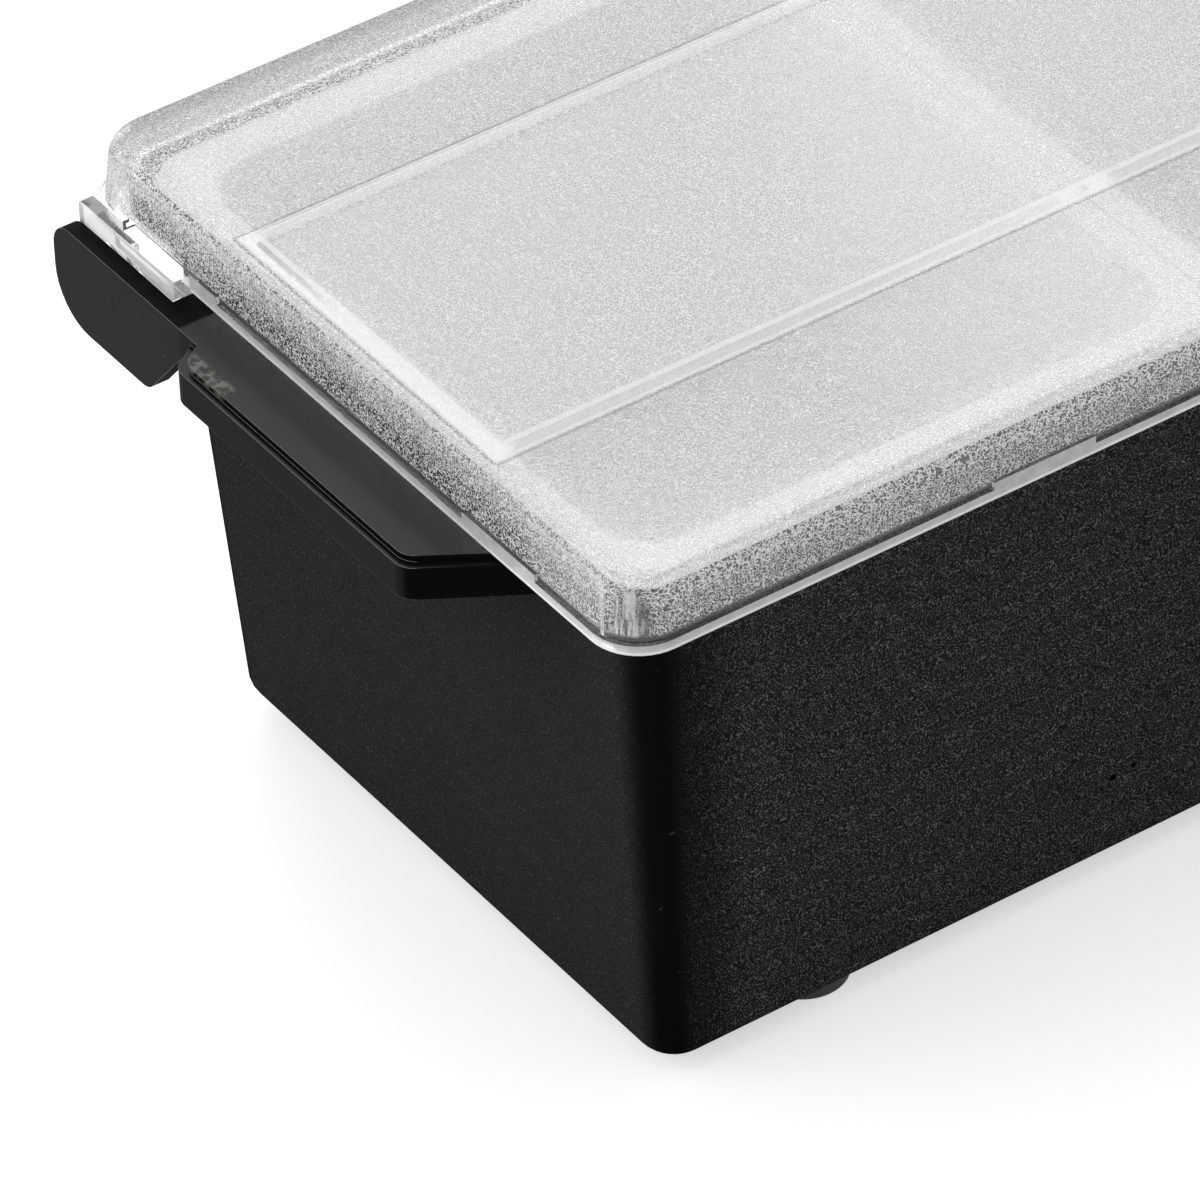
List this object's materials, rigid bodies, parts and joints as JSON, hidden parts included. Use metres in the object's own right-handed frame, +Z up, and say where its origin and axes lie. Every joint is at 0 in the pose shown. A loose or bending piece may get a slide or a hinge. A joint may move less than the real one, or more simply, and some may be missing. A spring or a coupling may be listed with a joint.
{
  "type": "bar garnish tray",
  "caption": "Lidded garnish tray for a bar: black tub with end handles and hinge ears, clear hinged lid, white lift-out inserts in a row over an ice space, rubber feet.",
  "frame": {"origin": "on the surface the feet stand on, under the middle of the tray", "axes": "+X along the row of inserts to the right-hand end, +Y to the hinge side, +Z up; the left end is the one the picture shows whole"},
  "size_m": [0.4996, 0.152, 0.116],
  "materials": {
    "tub": "fine leather grain on the walls, satin on handles and ears",
    "lid": "clear, with a fine stipple on the top and skirt",
    "insert": "satin white",
    "foot": "matt"
  },
  "bodies": {
    "tub": {"base_tub": "tub", "foot_front_left": "foot", "foot_front_right": "foot", "foot_rear_left": "foot", "foot_rear_right": "foot"},
    "lid": {"lid": "lid"},
    "insert_1": {"insert_1": "insert"},
    "insert_2": {"insert_2": "insert"},
    "insert_3": {"insert_3": "insert"},
    "insert_4": {"insert_4": "insert"}
  },
  "joints": [
    {"name": "lid_hinge", "type": "hinge", "parent": "tub", "child": "lid", "pos_m": [0, 0.0618, 0.0981], "axis": [-1, 0, 0], "range_deg": [0, 100]},
    {"name": "insert_1_lift", "type": "slide", "parent": "tub", "child": "insert_1", "axis": [0, 0, 1], "range_m": [0, 0.0035]},
    {"name": "insert_2_lift", "type": "slide", "parent": "tub", "child": "insert_2", "axis": [0, 0, 1], "range_m": [0, 0.0035]},
    {"name": "insert_3_lift", "type": "slide", "parent": "tub", "child": "insert_3", "axis": [0, 0, 1], "range_m": [0, 0.0035]},
    {"name": "insert_4_lift", "type": "slide", "parent": "tub", "child": "insert_4", "axis": [0, 0, 1], "range_m": [0, 0.0035]}
  ]
}
